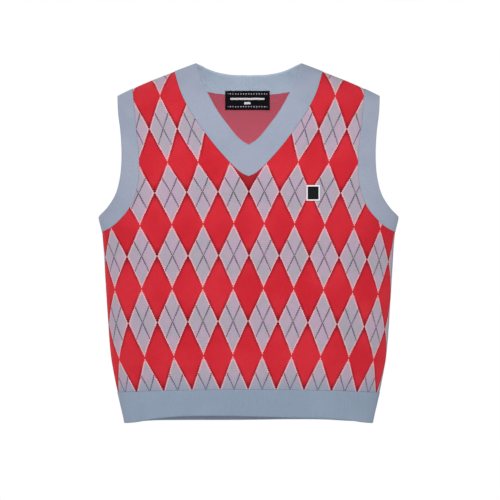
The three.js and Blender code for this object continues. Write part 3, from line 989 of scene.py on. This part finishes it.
def label_material():
    """Black woven tape with a plain white bar, a small block and two rows of lozenges."""
    n = Nodes("label_weave")
    x, y = n.uv()
    from_side = n.sum("ABSOLUTE", x)
    bar = n.times(near(n, y, 2.7, 1.5), n.less(from_side, 26.0))
    block = n.times(near(n, y, -3.9, 1.7), n.less(from_side, 4.8))
    lozenge_x = n.sum("ABSOLUTE", n.minus(n.fraction(n.times(x, 0.25)), 0.5))
    to_row = n.minus(n.sum("ABSOLUTE", n.add(y, -0.5)), 9.8)
    lozenge = n.add(n.times(lozenge_x, 3.2), n.times(n.sum("ABSOLUTE", to_row), 0.8))
    lozenges = n.times(n.less(lozenge, 1.0), n.less(from_side, 30.0))
    marks = n.sum("MAXIMUM", n.sum("MAXIMUM", bar, block), n.times(lozenges, 0.6))
    weave = n.times(n.wave(n.times(x, 2.2)), n.wave(n.times(y, 3.2)))
    colour = n.mix(n.times(marks, 0.86), LABEL_BLACK, THREAD_WHITE)
    # painted shade: the colour darkens between the woven threads
    colour = n.shade(colour, n.sum("MULTIPLY_ADD", weave, 0.25, 0.85))
    relief = n.add(weave, n.times(marks, 0.8))
    return n.finish(colour, n.bump(relief, 0.00015, 0.6), 0.6)


def patch_material():
    """Black filling stitches inside a white satin-stitched edge."""
    n = Nodes("patch_stitching")
    x, y = n.uv()
    to_side = n.minus(PATCH["width"] / 2, n.sum("ABSOLUTE", x))
    to_top = n.minus(PATCH["tall"] / 2, n.sum("ABSOLUTE", y))
    rim = n.sum("MINIMUM", to_side, to_top)
    edge = n.less(rim, 1.9)
    upright = n.less(to_side, to_top)
    satin_line = n.add(n.times(upright, y), n.times(n.minus(1.0, upright), x))
    satin = n.wave(n.times(satin_line, 2.4))
    filling = n.wave(n.add(n.times(x, 1.6), n.times(y, 1.1)))
    relief = n.add(n.times(edge, n.add(satin, 1.2)), n.times(n.minus(1.0, edge), filling))
    colour = n.mix(edge, PATCH_BLACK, THREAD_WHITE)
    # painted shade: the colour darkens in the stitching's low places
    colour = n.shade(colour, n.sum("MULTIPLY_ADD", n.sum("MINIMUM", relief, 1.0), 0.2, 0.82))
    return n.finish(colour, n.bump(relief, 0.0003, 0.7), 0.5)


def make_panel(name, on, materials):
    piece = Piece(name)
    for hand in (WEARERS_LEFT, WEARERS_RIGHT):
        angle, height, neck_row = panel_half(on, hand)
        uv = knitting(on, angle, height)
        rims = (SEAM, SEAM, SEAM, SEAM)
        piece.add_wall(on, angle, height, uv, 0, -KNIT_THICKNESS, rims, neck_row)
    return piece, piece.build(materials)


def make_neck_band(name, on, materials):
    piece = Piece(name)
    for hand in (WEARERS_LEFT, WEARERS_RIGHT):
        angle, height = neck_band_half(on, hand)
        uv = band_ribbing(on, angle, height, by_row=on == BACK)
        rims = (None, SEAM, SEAM, FREE)
        piece.add_wall(on, angle, height, uv, BAND_PROUD, BAND_PROUD - BAND_THICKNESS, rims)
    return piece, piece.build(materials)


def make_armhole_band(name, hand, materials):
    piece = Piece(name)
    for on in (FRONT, BACK):
        angle, height = armhole_band_half(hand)
        uv = band_ribbing(on, angle, height, by_row=True)
        rims = (None, None, SEAM, FREE)
        piece.add_wall(on, angle, height, uv, BAND_PROUD, BAND_PROUD - BAND_THICKNESS, rims)
    return piece, piece.build(materials)


def make_hem_band(name, on, materials):
    piece = Piece(name)
    for hand in (WEARERS_LEFT, WEARERS_RIGHT):
        angle, height = hem_band_half(on, hand)
        uv = knitting(on, angle, height)
        rims = (FREE, SEAM, None, SEAM)
        piece.add_wall(on, angle, height, uv, BAND_PROUD, BAND_PROUD - BAND_THICKNESS, rims)
    return piece, piece.build(materials)


def make_flat(name, on, size, outer, inner, columns, rows, materials):
    """A small rectangle that lies on the form, between two distances out from it."""
    u, v = np.meshgrid(np.linspace(-0.5, 0.5, columns + 1), np.linspace(-0.5, 0.5, rows + 1))
    local = np.stack([u * size["width"], v * size["tall"]], axis=-1)
    height = size["height"] + local[..., 1]
    angle = angle_at(size["x"] + local[..., 0], height)
    piece = Piece(name)
    points, normals = form_point(on, angle, height), form_normal(on, angle, height)
    front_face, back_face = points + normals * outer, points + normals * inner
    piece.area = piece.add_grid(front_face, local, 0, normals)
    piece.add_grid(back_face, local, 0, -normals)
    away = points - points.mean(axis=(0, 1))
    for pick in (np.s_[:1, :], np.s_[-1:, :], np.s_[:, :1], np.s_[:, -1:]):
        pair = np.concatenate([g[pick].reshape(1, -1, 3) for g in (front_face, back_face)])
        rim_uv = np.repeat(local[pick].reshape(1, -1, 2), 2, axis=0)
        piece.add_grid(pair, rim_uv, 0, np.repeat(away[pick].reshape(1, -1, 3), 2, axis=0))
    return piece, piece.build(materials)


argyle, wrong_side = argyle_material(), wrong_side_material()
rib = rib_material("rib_neck_and_armholes", RIB_BLUE, RIB_BLUE_DEEP)
# painted light: the ribs' inside faces are a lighter copy of the rib yarn
rib_inside_painted_light = rib_material("rib_inside_painted_light", RIB_INSIDE, RIB_INSIDE_DEEP)
hem_scale = (HEM_REPEAT / WALES, HEM_STEP / COURSES)
hem_rib = rib_material("rib_hem", HEM_BLUE, HEM_BLUE_DEEP, *hem_scale)
# painted light: the hem's inside face is a lighter copy of the hem yarn
hem_inside_painted_light = rib_material("rib_hem_inside", HEM_INSIDE, HEM_INSIDE_DEEP, *hem_scale)
label_weave, patch_stitching = label_material(), patch_material()

made = {}
for side_name, side in (("front", FRONT), ("back", BACK)):
    made[f"{side_name}_panel"] = make_panel(f"{side_name}_cloth", side, [argyle, wrong_side])
    made[f"{side_name}_neck_band"] = make_neck_band(f"{side_name}_neck_rib", side, [rib, rib_inside_painted_light])
    made[f"{side_name}_hem_band"] = make_hem_band(f"{side_name}_hem_rib", side, [hem_rib, hem_inside_painted_light])
for hand_name, side in (("left", WEARERS_LEFT), ("right", WEARERS_RIGHT)):
    name = f"armhole_rib_{hand_name}"
    made[f"armhole_band_{hand_name}"] = make_armhole_band(name, side, [rib, rib_inside_painted_light])
made["neck_label"] = make_flat("label_cloth", BACK, LABEL, -2.7, -3.4, 44, 20, [label_weave])
made["chest_patch"] = make_flat("patch_cloth", FRONT, PATCH, 1.2, 0.1, 20, 23, [patch_stitching])

# Each piece hides the solid of its node and rides on the root.
for node, (piece, obj) in made.items():
    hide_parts(node)
    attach(obj, "root")


CHEST_MIDDLE = (0, 0, -0.25)


def aim_light(data, place, aim):
    obj = bpy.data.objects.new(data.name, data)
    obj.location = place
    obj.rotation_mode = "QUATERNION"
    obj.rotation_quaternion = (Vector(aim) - Vector(place)).to_track_quat("-Z", "Y")
    bpy.context.scene.collection.objects.link(obj)
    return obj


def add_area_light(name, place, size, watts):
    data = bpy.data.lights.new(name, "AREA")
    data.shape = "DISK"
    data.size = size
    data.energy = watts
    aim_light(data, place, CHEST_MIDDLE)


def add_glow():
    """Light that the room throws up into the back neck, which no camera sees as a lamp."""
    data = bpy.data.lights.new("glow_inside", "SPOT")
    data.shadow_soft_size = 0.05
    data.spot_size = math.radians(110)
    data.spot_blend = 1.0
    data.energy = 1.25
    aim_light(data, (0, -0.05, -0.22), (0, 0.06, 0)).visible_camera = False


FLOOR_SIDES, FLOOR_RADIUS, FLOOR_LEVEL = 96, 3.3, -0.80


def add_floor():
    material = bpy.data.materials.new("floor_paper")
    material.use_nodes = True
    shader = material.node_tree.nodes["Principled BSDF"]
    shader.inputs["Base Color"].default_value = (0.74, 0.74, 0.75, 1)
    shader.inputs["Roughness"].default_value = 0.8
    mesh = bpy.data.meshes.new("floor")
    turns = [2 * math.pi * i / FLOOR_SIDES for i in range(FLOOR_SIDES)]
    rim = [(FLOOR_RADIUS * math.cos(turn), FLOOR_RADIUS * math.sin(turn), FLOOR_LEVEL) for turn in turns]
    mesh.from_pydata(rim, [], [tuple(range(FLOOR_SIDES))])
    mesh.materials.append(material)
    obj = bpy.data.objects.new("floor", mesh)
    bpy.context.scene.collection.objects.link(obj)


MM_PER_PIXEL = 1.5  # the photograph's scale
PICTURE_PIXELS = 500
CENTRE_PIXEL_X = 248.6  # where the vest's middle stands in the photograph
HEM_PIXEL_Y = 423.0
CAMERA_DISTANCE = 8.0


def add_camera():
    data = bpy.data.cameras.new("camera")
    data.sensor_width = 36.0
    data.lens = data.sensor_width * CAMERA_DISTANCE / (PICTURE_PIXELS * MM_PER_PIXEL * MM)
    data.clip_end = 100.0
    camera = bpy.data.objects.new("camera", data)
    middle = PICTURE_PIXELS / 2
    aside = (middle - CENTRE_PIXEL_X) * MM_PER_PIXEL * MM
    up = ((HEM_PIXEL_Y - middle) * MM_PER_PIXEL - HELD_HEIGHT) * MM
    camera.location = (aside, -CAMERA_DISTANCE, up)
    camera.rotation_euler = (math.pi / 2, 0, 0)
    bpy.context.scene.collection.objects.link(camera)
    bpy.context.scene.camera = camera


def add_world():
    world = bpy.data.worlds.new("studio")
    world.use_nodes = True
    background = world.node_tree.nodes["Background"]
    background.inputs["Color"].default_value = (1, 1, 1, 1)
    background.inputs["Strength"].default_value = 0.8
    bpy.context.scene.world = world


add_world()
add_floor()
add_camera()
add_area_light("key", (-0.03, -2.0, 0.85), 0.8, 26)
add_area_light("fill_right", (-3.2, -1.6, 0.8), 1.0, 37)
add_area_light("fill_left", (3.2, -1.6, 0.8), 1.0, 34)
add_area_light("behind", (-1.9, 3.2, 1.5), 1.2, 72)
add_glow()
bpy.context.scene.view_settings.view_transform = "Standard"
bpy.context.scene.view_settings.exposure = 0.33
